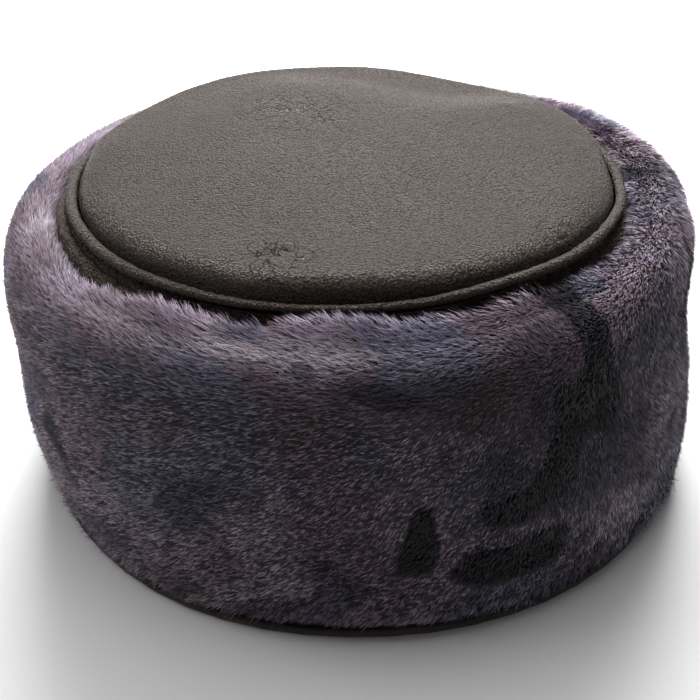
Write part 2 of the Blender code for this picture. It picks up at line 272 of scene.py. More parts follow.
def crown_leather(name, grain=1.0, light=LEATHER_LIGHT, seam=False, painted_front_shade=0.0):
    """Pebbled leather; grain scales the pebbles' depth and seam adds a sewn line. light is the
    lighter tone, which a seamed strip takes only at its left as painted light, and the last
    argument paints shade onto the edge that is turned down at the front."""
    finish = Finish(name)
    place = finish.add("ShaderNodeTexCoord", {}, output=3)
    bent = finish.add("ShaderNodeVectorMath", {"operation": "MULTIPLY_ADD"},
                      finish.add("ShaderNodeTexNoise", {}, Vector=place, Scale=1 / (2.2 * MM), output=1),
                      (0.5 * MM,) * 3, place)
    pebbles = finish.add("ShaderNodeTexVoronoi", {"feature": "F1"}, Vector=bent, Scale=1 / PEBBLE)
    specks = finish.noise(place, 0.48 * MM, detail=3.0, rough=0.7)
    patches = finish.noise(place, 26 * MM, detail=3.0)
    wear = finish.noise(place, 5 * MM, detail=4.0, rough=0.65)
    tops = 1.0 - pebbles
    if seam:
        line, folds, at_left = sewn_line(finish, place)
        # Painted light: at its left the seamed strip takes the lighter tone that is passed in.
        light = finish.mix(at_left, LEATHER_LIGHT, light)
    colour = finish.mix(patches.between(0.3, 0.7) * 0.5 + 0.5, LEATHER_DARK, light)
    raised = tops.between(0.35, 0.7) * 0.6 + specks.between(0.42, 0.58) * 0.4
    colour = finish.mix(raised, LEATHER_DARK, colour)
    cracks_seam_and_fold_shade = fine_cracks(finish, place)
    height = tops * 1.2 + specks * 1.4 + wear * 0.3 - cracks_seam_and_fold_shade * 1.3
    if seam:
        # Painted shade: the valleys of the folds are darkened in colour as well as pressed in; the seam
        # line darkens as a sewn joint.
        cracks_seam_and_fold_shade = cracks_seam_and_fold_shade + line * 1.3 + (1.0 - folds.between(0.34, 0.47)) * 0.8
        height = height - line * 3.0 + folds * 4.0
    colour = finish.mix(cracks_seam_and_fold_shade * 0.6, colour, LEATHER_DARK)
    # Painted shade: the edge turned down at the front is darkened towards LEATHER_DARK; it is also made
    # rougher.
    front = finish.add("ShaderNodeSeparateXYZ", {}, place, output=1).between(*TURNED_EDGE_Y)
    colour = finish.mix(front * painted_front_shade, colour, LEATHER_DARK)
    rough = 0.24 + patches * 0.12 + (1.0 - raised) * 0.45 + wear * 0.06 + cracks_seam_and_fold_shade * 0.3
    rough = rough + front * (0.3 * painted_front_shade)
    finish.dress(Base_Color=colour, Roughness=rough, Specular_IOR_Level=0.6, Specular_Tint=LEATHER_SHINE,
                 Normal=finish.bump(height, PEBBLE_DEPTH * grain))
    return finish.material


# The tip takes painted shade on its turned-down front edge.
tip_leather = crown_leather("tip_leather", painted_front_shade=0.8)
piping_leather = crown_leather("piping_leather", grain=0.7)
# The strip's lighter tone here is painted light, used only at its left.
strip_leather = crown_leather("strip_leather", grain=1.2, light=tone(142, 126, 110), seam=True)
print("crown finishes", tip_leather.name, piping_leather.name, strip_leather.name)

# %% Finish the other sides
EDGING_DARK = tone(34, 24, 20)
EDGING_LIGHT = tone(62, 46, 40)
HIDE_BACK_DARK = tone(84, 76, 68)
HIDE_BACK_LIGHT = tone(118, 108, 98)
FLESH_DARK = tone(60, 54, 47)
FLESH_LIGHT = tone(92, 80, 68)


def plain_skin(name, dark, light, rough, fuzz):
    """Skin with a short nap or a smooth face, such as an edging or the back of a hide."""
    finish = Finish(name)
    place = finish.add("ShaderNodeTexCoord", {}, output=3)
    clouds = finish.noise(place, 14 * MM, detail=4.0)
    fibres = finish.noise(place, 0.6 * MM, detail=4.0, rough=0.7)
    colour = finish.mix(clouds.between(0.3, 0.7) * 0.6 + fibres * 0.4, dark, light)
    finish.dress(Base_Color=colour, Roughness=rough + fibres * 0.2, Sheen_Weight=fuzz,
                 Normal=finish.bump(fibres + clouds * 0.4, 0.12 * MM))
    return finish.material


edging = plain_skin("edging_leather", EDGING_DARK, EDGING_LIGHT, 0.45, 0.0)
hide_back = plain_skin("hide_back", HIDE_BACK_DARK, HIDE_BACK_LIGHT, 0.75, 0.4)
flesh_side = plain_skin("flesh_side", FLESH_DARK, FLESH_LIGHT, 0.8, 0.3)
print("other finishes", edging.name, hide_back.name, flesh_side.name)

# %% [markdown]
# ## Plush
# The plush is printed with soft blotches of slate, brown and lilac and a few dark rounded
# patches: a plain camouflage. The print is on the hide, so it is drawn in the hide's own flat
# coordinates, and each fibre takes the colour of the place where it is rooted. A second map
# says how far along the fibre a point is and how much light reaches it between its neighbours.

# %% Finish the plush
PILE_SLATE = tone(108, 105, 122)
PILE_BROWN = tone(116, 101, 110)
PILE_LILAC = tone(135, 121, 137)
PILE_PALE = tone(154, 145, 155)
PILE_NAVY = tone(65, 63, 83)
PILE_DARK = tone(18, 17, 24)
UNDERCOAT_SHADE = (0.3, 0.28, 0.3, 1.0)
PRINT_START = (1.34, 0.05, 0.0)
HIDE_MAP = "hide"
FIBRE_MAP = "fibre"


def print_colour(finish, hide):
    """The printed camouflage at a place on the hide."""
    hide = finish.add("ShaderNodeVectorMath", {"operation": "ADD"}, hide, PRINT_START)
    broad = finish.noise(finish.stretched(hide, (0.75, 1.0, 1.0)), 46 * MM, detail=1.0, twist=0.6)
    other = finish.noise(finish.stretched(hide, (1.0, 0.8, 1.0), (0, 0, 0.7)), 30 * MM, detail=1.0,
                         twist=0.4)
    smears = finish.noise(finish.stretched(hide, (0.4, 1.0, 1.0), (0, 0, 1.1)), 22 * MM, detail=2.0,
                          twist=0.5)
    colour = finish.mix(broad.between(0.42, 0.54), PILE_SLATE, PILE_BROWN)
    colour = finish.mix(other.between(0.5, 0.6) * 0.8, colour, PILE_LILAC)
    colour = finish.mix(smears.between(0.56, 0.66) * 0.55, colour, PILE_PALE)
    clouds = finish.noise(finish.stretched(hide, (0.8, 1.0, 1.0), (0, 0, 0.3)), 34 * MM, detail=1.0,
                          twist=0.3)
    colour = finish.mix((1.0 - clouds).between(0.57, 0.63) * 0.75, colour, PILE_NAVY)
    patches = finish.noise(finish.stretched(hide, (1.0, 0.62, 1.0), (0, 0, -0.5)), 40 * MM,
                           detail=0.0, twist=0.9)
    return finish.mix(patches.between(0.66, 0.685), colour, PILE_DARK)


def plush(name, root_light, tip_light):
    """Fibres lit from their roots to their tips."""
    finish = Finish(name)
    hide = finish.add("ShaderNodeUVMap", {"uv_map": HIDE_MAP})
    fibre = finish.add("ShaderNodeUVMap", {"uv_map": FIBRE_MAP})
    split = finish.add("ShaderNodeSeparateXYZ", {}, fibre)
    along, light = split, Wire(finish, split.socket.node.outputs[1])
    shade = (root_light + along * (tip_light - root_light)) * light
    grey = finish.add("ShaderNodeCombineColor", {}, shade, shade, shade)
    colour = finish.mix(1.0, print_colour(finish, hide), grey, "MULTIPLY")
    finish.dress(Base_Color=colour, Roughness=0.62, Specular_IOR_Level=0.35, Sheen_Weight=0.35,
                 Sheen_Roughness=0.5, Sheen_Tint=tone(210, 200, 215))
    return finish.material


pile_plush = plush("pile_plush", 0.1, 1.35)
undercoat = Finish("undercoat")
undercoat_colour = undercoat.mix(1.0, print_colour(undercoat, undercoat.add(
    "ShaderNodeUVMap", {"uv_map": HIDE_MAP})), UNDERCOAT_SHADE, "MULTIPLY")
undercoat.dress(Base_Color=undercoat_colour, Roughness=0.95, Specular_IOR_Level=0.1)
print("plush finishes", pile_plush.name, undercoat.material.name)

# %% [markdown]
# ## Helpers for a mesh
# The operators act on what is selected, and the frame comes in selected, so everything is
# deselected first. Points are read and moved as arrays, which is quick for thousands of them.


# %% Select, read and move
def only(piece):
    """Make one object the selected, active one."""
    bpy.ops.object.select_all(action="DESELECT")
    piece.select_set(True)
    bpy.context.view_layer.objects.active = piece
    return piece


def welded_copy(node, name):
    """A copy of a CAD node whose loose triangles are merged and paired into quads."""
    piece = bpy.data.objects.new(name, frame["nodes"][node].data.copy())
    bpy.context.scene.collection.objects.link(piece)
    piece.data.materials.clear()
    only(piece)
    bpy.ops.object.mode_set(mode="EDIT")
    bpy.ops.mesh.select_all(action="SELECT")
    bpy.ops.mesh.remove_doubles(threshold=0.01 * MM)
    bpy.ops.mesh.tris_convert_to_quads(face_threshold=math.radians(60), shape_threshold=math.radians(60))
    bpy.ops.object.mode_set(mode="OBJECT")
    return piece


def points_of(piece):
    """Every vertex's place."""
    flat = np.empty(3 * len(piece.data.vertices), np.float32)
    piece.data.vertices.foreach_get("co", flat)
    return flat.reshape(-1, 3).astype(float)


def normals_of(piece):
    """Every vertex's normal."""
    flat = np.empty(3 * len(piece.data.vertices), np.float32)
    piece.data.vertex_normals.foreach_get("vector", flat)
    return flat.reshape(-1, 3).astype(float)


def move_to(piece, points):
    """Put every vertex at a new place."""
    piece.data.vertices.foreach_set("co", points.astype(np.float32).ravel())
    piece.data.update()


def finish_with(piece, kind, **settings):
    """Add a modifier, set it and apply it."""
    modifier = piece.modifiers.new(kind.lower(), kind)
    for setting, value in settings.items():
        setattr(modifier, setting, value)
    only(piece)
    bpy.ops.object.modifier_apply(modifier=modifier.name)


def triangles(piece):
    """How many triangles a mesh has."""
    return sum(len(face.vertices) - 2 for face in piece.data.polygons)


# %% Soft numbers
def ease(share):
    """From 0 to 1 with level ends, for arrays."""
    share = np.clip(share, 0.0, 1.0)
    return share * share * (3.0 - 2.0 * share)


def cell_number(column, row, seed):
    """A repeatable number from 0 to 1 for each whole cell."""
    return (np.sin(column * 127.1 + row * 311.7 + seed * 74.7) * 43758.5453) % 1.0


def around(turn, middle, half):
    """How near each azimuth is to a middle one, from 0 to 1, in degrees."""
    away = (np.degrees(turn) - middle + 180) % 360 - 180
    return np.exp(-(away / half) ** 2)


def ripple(x, y, seed):
    """Smooth noise from 0 to 1 over cells one unit wide."""
    column, row = np.floor(x), np.floor(y)
    across, up = ease(x - column), ease(y - row)
    low = cell_number(column, row, seed) * (1 - across) + cell_number(column + 1, row, seed) * across
    high = cell_number(column, row + 1, seed) * (1 - across)
    high = high + cell_number(column + 1, row + 1, seed) * across
    return low * (1 - up) + high * up


# %% [markdown]
# ## Flat coordinates of the hide
# The band is a strip sewn into a ring, with its seam at the back. A place on it is a run round
# the ring and a run up from the hem. Both could come from unwrapping, but the hat is near an
# oval cylinder with a rounded top, so two short sums give them for any point.

# %% Measure places on the hide
BULGE_RADIUS = 117.0 * MM
MEAN_RADIUS = 114.0 * MM


def oval_place(points):
    """Azimuth from 0 to a full turn, and the half length of the oval through each point."""
    x = points[:, 0] - MIDDLE_X - LEAN_PER_HEIGHT * (points[:, 2] - LEAN_PIVOT_HEIGHT)
    y = points[:, 1] / OVAL_RATIO
    return np.arctan2(y, x) % (2 * math.pi), np.hypot(x, y)


def hide_place(points):
    """Runs in metres round the band from its back seam and up from its hem."""
    azimuth, radius = oval_place(points)
    return azimuth * MEAN_RADIUS, points[:, 2] + np.maximum(0.0, BULGE_RADIUS - radius)


def give_map(piece, name, per_corner):
    """Store a UV map from one pair of numbers for each corner."""
    layer = piece.data.uv_layers.new(name=name, do_init=False)
    layer.uv.foreach_set("vector", per_corner.astype(np.float32).ravel())


def corner_vertices(piece):
    """The vertex of each face corner."""
    found = np.empty(len(piece.data.loops), np.int32)
    piece.data.loops.foreach_get("vertex_index", found)
    return found


# %% [markdown]
# ## The padded body of the band
# Under the fibres there is a padded hide. It is a copy of the band's solid, remeshed to an
# even skin so that its lock steps soften away, and freed of any crumb that the remesh leaves
# behind. A cloth simulation with a little pressure then lets it fill out as padding does. Last
# its outer side is drawn in by the depth of the pile, so that the fibres end where the solid did.

# %% Build the band's body
PILE_DEPTH = 1.7 * MM
BODY_VOXEL = 2.4 * MM
BODY_PRESSURE = 4.0
BODY_MOST_MOVE = 1.2 * MM
CLOTH_FRAMES = 20


def puff(piece, most_move):
    """Let a closed piece swell like padding, no point moving further than most_move."""
    rest = points_of(piece)
    cloth = piece.modifiers.new("padding", "CLOTH")
    cloth.settings.use_pressure = True
    cloth.settings.uniform_pressure_force = BODY_PRESSURE
    cloth.settings.effector_weights.gravity = 0.0
    for number in range(1, CLOTH_FRAMES + 1):
        bpy.context.scene.frame_set(number)
    swollen = piece.evaluated_get(bpy.context.evaluated_depsgraph_get())
    moved = points_of(swollen)
    piece.modifiers.remove(cloth)
    bpy.context.scene.frame_set(1)
    step = moved - rest
    size = np.linalg.norm(step, axis=1, keepdims=True)
    move_to(piece, rest + step * np.minimum(1.0, most_move / np.maximum(size, 1e-9)))
    print("padding moved", round(float(size.max()) / MM, 1), "mm at most before the cap")


def drop_crumbs(piece):
    """Delete small closed crumbs that a voxel remesh can leave beside the main skin."""
    before = len(piece.data.vertices)
    only(piece)
    bpy.ops.object.mode_set(mode="EDIT")
    bpy.ops.mesh.select_all(action="DESELECT")
    bpy.ops.object.mode_set(mode="OBJECT")
    piece.data.vertices[int(points_of(piece)[:, 2].argmin())].select = True
    bpy.ops.object.mode_set(mode="EDIT")
    bpy.ops.mesh.select_linked()
    bpy.ops.mesh.select_all(action="INVERT")
    bpy.ops.mesh.delete(type="VERT")
    bpy.ops.object.mode_set(mode="OBJECT")
    print("crumbs had", before - len(piece.data.vertices), "vertices")


pile_body = welded_copy("fur_band", "pile_body")
finish_with(pile_body, "REMESH", mode="VOXEL", voxel_size=BODY_VOXEL)
drop_crumbs(pile_body)
finish_with(pile_body, "SMOOTH", factor=0.5, iterations=7)
puff(pile_body, BODY_MOST_MOVE)
finish_with(pile_body, "SMOOTH", factor=0.5, iterations=2)
print("band body", triangles(pile_body), "triangles")


# %% Find the band's lip
LIP_REACH = 9.0 * MM
LIP_LIFT = 3.2 * MM
LIP_STEPS = 54  # one for each lock of the solid
LIP_WAVES = 9


def ring_step(azimuth):
    """Which of the lip's steps round the hat each azimuth is nearest to."""
    return np.round(azimuth / (2 * math.pi) * LIP_STEPS).astype(int) % LIP_STEPS


def ring_line(azimuth, values, waves):
    """A smooth closed line through values that are known at some azimuths."""
    def terms(angle):
        parts = [np.ones_like(angle)]
        for wave in range(1, waves):
            parts += [np.cos(wave * angle), np.sin(wave * angle)]
        return np.array(parts).T
    weights = np.linalg.lstsq(terms(azimuth), values, rcond=None)[0]
    return lambda angle: terms(angle) @ weights


def lip_of_band():
    """Radius and height of the band's inner top edge as a smooth function of azimuth."""
    solid = frame["nodes"]["fur_band"].data
    points = np.array([vertex.co for vertex in solid.vertices])
    azimuth, radius = oval_place(points)
    step = ring_step(azimuth)
    best = []
    for number in range(LIP_STEPS):
        mine = np.flatnonzero(step == number)
        best.append(mine[np.argmin((radius - points[:, 2])[mine])])
    return ring_line(azimuth[best], np.stack([radius[best], points[best, 2]], 1), LIP_WAVES)


lip_line = lip_of_band()
lip_heights = lip_line(np.linspace(0.0, 2 * math.pi, 73))[:, 1] / MM
print("lip from", round(lip_heights.min(), 1), "to", round(lip_heights.max(), 1), "mm high")

# %% Draw in the outer side and map it
places, outward = points_of(pile_body), normals_of(pile_body)
turn, radius = oval_place(places)
from_axis = np.stack([np.cos(turn), np.sin(turn) / OVAL_RATIO, np.zeros_like(turn)], 1)
facing_out = (outward * from_axis).sum(1) / np.linalg.norm(from_axis, axis=1)
piled = ease((np.maximum(facing_out, outward[:, 2]) + 0.1) / 0.5)
move_to(pile_body, places - outward * (PILE_DEPTH * piled)[:, None])
only(pile_body)
bpy.ops.object.shade_smooth()
places = points_of(pile_body)
turn, radius = oval_place(places)
lip = lip_line(turn)
worn = ease(1.0 - np.hypot(radius - lip[:, 0], places[:, 2] - lip[:, 1]) / LIP_REACH)
no_lift = ease((np.sin(turn) - 0.4) / 0.4)
lip_share = 1.0 + 0.95 * around(turn, 268, 44) + 0.6 * around(turn, 248, 16) - no_lift
places[:, 2] += LIP_LIFT * worn * lip_share
move_to(pile_body, places)
round_run, up_run = hide_place(places)
give_map(pile_body, HIDE_MAP, np.stack([round_run, up_run], 1)[corner_vertices(pile_body)])
pile_body.data.materials.append(undercoat.material)
pile_body.data.materials.append(hide_back)
for face in pile_body.data.polygons:
    turned_in = face.normal.x * face.center.x + face.normal.y * face.center.y < 0.0
    face.material_index = 1 if turned_in and face.normal.z < 0.35 else 0
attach(pile_body, "root")
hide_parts("fur_band")
print("band body", triangles(pile_body), "triangles")

# %% [markdown]
# ## Fibres
# Hair particles would be one way, but they aren't meshes. Each visible fibre of plush is a wisp
# of many hairs, so a wisp is made as a kite of four points: root, two sides at the bend, and
# tip. All kites of a sector are one mesh, written from arrays. They are combed round the hat,
# lie in low wavy ridges where wisps cling together, and turn inwards at the crown.

# %% Choose how the pile lies
FIBRES_PER_MM2 = 4.35
SECTORS = 5
LIE = {  # run up from the hem: length, lift, turn towards the crown, width, and painted light and shade
    "run": (3.0, 12.0, 60.0, 88.0, 104.0, 118.0, 130.0),
    "length": (3.2, 2.3, 2.1, 2.4, 2.9, 3.5, 4.0),
    "lift": (14.0, 42.0, 50.0, 44.0, 34.0, 28.0, 28.0),
    "turn": (-64.0, -14.0, -4.0, 0.0, 3.0, 5.0, 8.0),
    "width": (0.3, 0.27, 0.27, 0.26, 0.26, 0.26, 0.26),
    "light": (1.35, 1.3, 0.95, 0.78, 1.12, 1.3, 1.34),
}
HEM_HANG = 1.0
RIDGE_ALONG = 1.3 * MM
RIDGE_ACROSS = 0.55 * MM
STRAY_SHARE = 0.02
FLOOR_GAP = 0.4 * MM
HEM_HEIGHT = 3.4 * MM
FACING_DOWN = -0.85
NAP_AND_PAINTED_LIGHT = [  # azimuth and run of the middle, half sizes, change of painted light and shade, turn, lift and length
    (291, 94, 17, 13, -0.4, 0, -8, 0.0), (313, 52, 17, 26, 0.05, -55, 12, 0.1),
    (348, 55, 26, 34, -0.15, -75, 6, 0.2), (303, 66, 20, 26, -0.66, 0, 0, 0.0),
    (304, 112, 9, 9, -0.2, 45, 14, 0.2), (232, 70, 22, 20, 0.05, 6, 0, 0.0),
    (10, 102, 42, 14, 0.4, -58, 0, 0.45), (270, 127, 40, 12, 0.9, 0, 0, 0.1),
    (28, 84, 26, 14, 0.0, -40, 0, 0.2), (14, 127, 46, 10, 0.35, 68, 0, 0.0),
    (338, 45, 16, 28, 0.1, -10, 12, 0.4), (276, 100, 30, 15, -0.42, 0, 0, 0.0),
    (38, 112, 26, 16, 0.45, 0, 15, 0.5),
]
rng = np.random.default_rng(7)


def lie(column, run):
    """One column of LIE at each run, with straight lines between its rows."""
    return np.interp(run / MM, LIE["run"], LIE[column])


def nap_and_painted_light(turn, run):
    """Painted changes of light and shade, and changes of turn, lift and length where the nap was combed
    another way.
    """
    change = np.zeros((4, len(turn)))
    for azimuth, middle, wide, high, *by in NAP_AND_PAINTED_LIGHT:
        share = around(turn, azimuth, wide) * np.exp(-((run / MM - middle) / high) ** 2)
        change += np.array(by)[:, None] * share
    return change


def scatter_roots(piece, per_mm2):
    """Random roots on the piled faces of the body: places and outward normals."""
    mesh = piece.data
    mesh.calc_loop_triangles()
    corners = np.empty(3 * len(mesh.loop_triangles), np.int32)
    mesh.loop_triangles.foreach_get("vertices", corners)
    slots = np.empty(len(mesh.loop_triangles), np.int32)
    mesh.loop_triangles.foreach_get("material_index", slots)
    corners = corners.reshape(-1, 3)[slots == 0]
    points, normals = points_of(piece), normals_of(piece)
    a, b, c = (points[corners[:, n]] for n in range(3))
    area = np.linalg.norm(np.cross(b - a, c - a), axis=1) / 2
    wanted = area / MM ** 2 * per_mm2
    count = np.floor(wanted + rng.random(len(wanted))).astype(int)
    owner = np.repeat(np.arange(len(corners)), count)
    one, two = rng.random(len(owner)), rng.random(len(owner))
    fold = one + two > 1
    one[fold], two[fold] = 1 - one[fold], 1 - two[fold]
    share = np.stack([1 - one - two, one, two], 1)[:, :, None]
    root = (points[corners[owner]] * share).sum(1)
    normal = (normals[corners[owner]] * share).sum(1)
    return root, normal / np.linalg.norm(normal, axis=1, keepdims=True)


roots, root_normals = scatter_roots(pile_body, FIBRES_PER_MM2)
above_hem = (roots[:, 2] > HEM_HEIGHT) & (root_normals[:, 2] > FACING_DOWN)
roots, root_normals = roots[above_hem], root_normals[above_hem]
print("fibres", len(roots))

# %% [markdown]
# ## Combing
# Plush is never combed evenly: it drifts, clings in small tufts, stands up at its free edges
# and lies down on the roll. Each cause below adds a few degrees to a fibre's turn along the
# skin or to its lift off it. Adding causes is simpler than painting a comb map by hand.

# %% Name what turns and lifts a fibre
COMB = {"drift": 44, "chance": 9, "ridge": 40, "lip": 16, "hem": -34, "tuft": 34}  # degrees
LIFT = {"ridge": 18, "chance": 7, "lip": 22, "hem": 16, "stray": 24, "tuft": 22}  # degrees
LIFT_NEAR_ROOT = 1.35
LIFT_NEAR_TIP = 0.62
BEND_ALONG = 0.45
LENGTH_SPREAD = (0.72, 1.22)
WIDTH_SPREAD = (0.75, 1.25)
TWIST_SPREAD = (-0.9, 0.9)
ROLL_START = 84 * MM
ROLL_REACH = 18 * MM
TUFT_CELL = 5 * MM
LIGHT_CHANCE = 0.72
LEAST_LIGHT = 0.05
MOST_LIGHT = 2.2


# %% Measure the skin round each root
def unit(vectors):
    """Vectors of length one."""
    return vectors / np.maximum(np.linalg.norm(vectors, axis=1, keepdims=True), 1e-12)


def skin_axes(normal, turn):
    """Two directions in the skin: clockwise round the hat, and up towards the crown."""
    still = np.zeros(len(turn))
    clockwise = np.stack([np.sin(turn), -np.cos(turn), still], 1)
    along = unit(clockwise - normal * (clockwise * normal).sum(1, keepdims=True))
    upward = np.cross(normal, along)
    to_crown = np.stack([-np.cos(turn), -np.sin(turn), still + 1.0], 1)
    upward *= np.sign((upward * to_crown).sum(1, keepdims=True))
    return along, upward


def ridge(round_run, up_run):
    """Height of the low wavy ridges into which wisps cling, from 0 to 1."""
    sway = 2.4 * ripple(round_run / (9 * MM), up_run / (7 * MM), 3)
    fine = ripple(round_run / RIDGE_ALONG, up_run / RIDGE_ACROSS + sway, 5)
    finer = ripple(round_run / (RIDGE_ALONG * 0.45), up_run / (RIDGE_ACROSS * 0.5) + sway, 9)
    return 0.68 * fine + 0.32 * finer


def side_of_ridge(round_run, up_run):
    """Which way a ridge slopes under each root."""
    return ridge(round_run, up_run + 0.3 * MM) - ridge(round_run, up_run - 0.3 * MM)


def nearness_to_lip(root, turn, radius):
    """How near each root is to the band's lip, from 0 to 1."""
    lip = lip_line(turn)
    return ease(1.0 - np.hypot(radius - lip[:, 0], root[:, 2] - lip[:, 1]) / LIP_REACH)


def tufts(turn, round_run, up_run, on_roll):
    """Tufts that cling together, mostly at the right and hardly on the roll."""
    tuft = ripple(round_run / TUFT_CELL, up_run / TUFT_CELL, 27) - 0.5
    return tuft * (0.2 + around(turn, 350, 55)) * (1.0 - 0.8 * on_roll * (1.0 - around(turn, 30, 25)))


# %% Light each fibre
def light_between(high, on_roll, up_run, painted_light_change):
    """How much light reaches each fibre: less between ridges, and more on the open roll."""
    light = 1.0 + (1.0 - 0.62 * on_roll) * (1.42 * ease((high - 0.32) / 0.36) - 0.95)
    chance = rng.normal(0, LIGHT_CHANCE, len(high)) * (1.0 - 0.5 * on_roll)
    light = light * np.exp(chance) * (1.0 + 0.16 * on_roll)
    # Painted light and shade: the fibres' colour is scaled by the nap table's changes and by the light
    # column of LIE.
    light = light * (1.0 + painted_light_change) * lie("light", up_run)
    return np.clip(light, LEAST_LIGHT, MOST_LIGHT)


# %% Bend each fibre
def bend_fibres(root, normal):
    """The four points of each kite, and how much light reaches it."""
    count = len(root)
    turn, radius = oval_place(root)
    round_run, up_run = hide_place(root)
    along, upward = skin_axes(normal, turn)
    on_roll = ease((up_run - ROLL_START) / ROLL_REACH)
    behind = ease((np.sin(turn) - 0.5) / 0.3)
    high = ridge(round_run, up_run)
    drift = (ripple(round_run / (16 * MM), up_run / (12 * MM), 21) - 0.5) * (1.0 - 0.4 * on_roll)
    near_lip = nearness_to_lip(root, turn, radius)
    near_hem = ease((12 * MM - up_run) / (6 * MM)) * (1.0 - around(turn, 268, 24))
    tuft = tufts(turn, round_run, up_run, on_roll)
    painted_light_change, turned, raised, longer = nap_and_painted_light(turn, up_run)

    comb = lie("turn", up_run) + COMB["drift"] * drift + rng.normal(0, COMB["chance"], count)
    comb = comb + COMB["ridge"] * side_of_ridge(round_run, up_run)
    comb = comb + COMB["lip"] * near_lip + turned + COMB["hem"] * near_hem + COMB["tuft"] * tuft
    comb = np.radians(comb)[:, None]
    lean = along * np.cos(comb) + upward * np.sin(comb)

    stray = (rng.random(count) < STRAY_SHARE) & (near_lip < 0.3)
    lift = lie("lift", up_run) + LIFT["ridge"] * (high - 0.5) + rng.normal(0, LIFT["chance"], count)
    lift = lift + LIFT["lip"] * near_lip * (1.0 - 0.6 * behind) + raised
    lift = lift + LIFT["hem"] * near_hem + LIFT["stray"] * stray + LIFT["tuft"] * tuft
    rising = np.radians(lift * LIFT_NEAR_ROOT)[:, None]
    settling = np.radians(lift * LIFT_NEAR_TIP)[:, None]

    length = (lie("length", up_run) * rng.uniform(*LENGTH_SPREAD, count) * MM)[:, None]
    length *= (1.0 + 0.3 * near_lip + HEM_HANG * near_hem + longer + 0.45 * stray + 0.5 * tuft)[:, None]
    width = (lie("width", up_run) * rng.uniform(*WIDTH_SPREAD, count) * MM)[:, None]
    twist = (rng.uniform(*TWIST_SPREAD, count) * (1.0 - 0.25 * on_roll))[:, None]
    across = unit(np.cross(normal, lean) * np.cos(twist) + normal * np.sin(twist))
    bend = root + (lean * np.cos(rising) + normal * np.sin(rising)) * length * BEND_ALONG
    tip = bend + (lean * np.cos(settling) + normal * np.sin(settling)) * length * (1.0 - BEND_ALONG)
    kites = np.stack([root, bend - across * width / 2, bend + across * width / 2, tip], 1)
    kites[:, :, 2] = np.maximum(kites[:, :, 2], FLOOR_GAP)
    return kites, light_between(high, on_roll, up_run, painted_light_change)


kites, fibre_light = bend_fibres(roots, root_normals)
print("tips reach", np.round(kites[:, 3].max(0) / MM, 1), "mm")

# %% [markdown]
# ## One mesh for each sector
# A third of a million kites are too many for one piece, so the hat is cut into five sectors.
# The kites share a material, and each has its own small cell on the map that a bake uses.

# %% Name the kite's faces and maps
KITE_FACES = np.array([[0, 1, 2], [2, 1, 3]])
KITE_ALONG = np.array([0.0, BEND_ALONG, BEND_ALONG, 1.0])
CELL_SPOTS = np.array([[0.5, 0.08], [0.12, 0.5], [0.88, 0.5], [0.5, 0.92]])
SURFACE_SHARE = 0.5


# %% Make one mesh for each sector
def cell_spots(round_run, up_run):
    """Each fibre's own small cell on the bake's map, with fibres of like place side by side."""
    count = len(round_run)
    side = math.ceil(math.sqrt(count))
    order = np.lexsort((up_run, round_run))
    ranks = np.empty(count, int)
    ranks[order] = np.arange(count)
    corner = np.stack([ranks % side, ranks // side], 1)
    return (corner[:, None, :] + CELL_SPOTS[None]) / side


def pile_sector(name, kites, normals, light):
    """Join kites into one mesh with its maps and soft normals."""
    count = len(kites)
    faces = (KITE_FACES[None] + 4 * np.arange(count)[:, None, None]).reshape(-1)
    mesh = bpy.data.meshes.new(name)
    mesh.vertices.add(4 * count)
    mesh.vertices.foreach_set("co", kites.astype(np.float32).ravel())
    mesh.loops.add(len(faces))
    mesh.loops.foreach_set("vertex_index", faces.astype(np.int32))
    mesh.polygons.add(len(faces) // 3)
    mesh.polygons.foreach_set("loop_start", np.arange(0, len(faces), 3, dtype=np.int32))
    mesh.update(calc_edges=True)
    mesh.shade_smooth()
    piece = bpy.data.objects.new(name, mesh)
    bpy.context.scene.collection.objects.link(piece)
    round_run, up_run = hide_place(kites[:, 0])
    hide = np.repeat(np.stack([round_run, up_run], 1)[:, None], 4, 1).reshape(-1, 2)
    fibre = np.stack([np.tile(KITE_ALONG, count), np.repeat(light, 4)], 1)
    give_map(piece, HIDE_MAP, hide[faces])
    give_map(piece, FIBRE_MAP, fibre[faces])
    give_map(piece, "OFBake", cell_spots(round_run, up_run).reshape(-1, 2)[faces])
    mesh.materials.append(pile_plush)
    leaning = unit(kites[:, 3] - kites[:, 0])
    across = unit(kites[:, 2] - kites[:, 1])
    flat = unit(np.cross(across, leaning))
    flat *= np.sign((flat * normals).sum(1, keepdims=True))
    soft = unit(normals * SURFACE_SHARE + flat * (1 - SURFACE_SHARE))
    mesh.normals_split_custom_set_from_vertices(np.repeat(soft, 4, axis=0).astype(np.float32))
    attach(piece, "root")
    return piece


kite_turn = oval_place(kites[:, 0])[0]
sector = np.minimum((kite_turn / (2 * math.pi) * SECTORS).astype(int), SECTORS - 1)
for number in range(SECTORS):
    mine = sector == number
    made = pile_sector(f"pile_{number + 1}", kites[mine], root_normals[mine], fibre_light[mine])
    print(made.name, triangles(made), "triangles")

# %% [markdown]
# ## The leather top
# The top is one panel of thin leather, domed by the head under it, with soft folds and a
# turned edge. Its solid has the dome and the folds. Here a welded copy is smoothed to a fine
# mesh, and creases and needle puckers are pressed into it, because they catch the light.

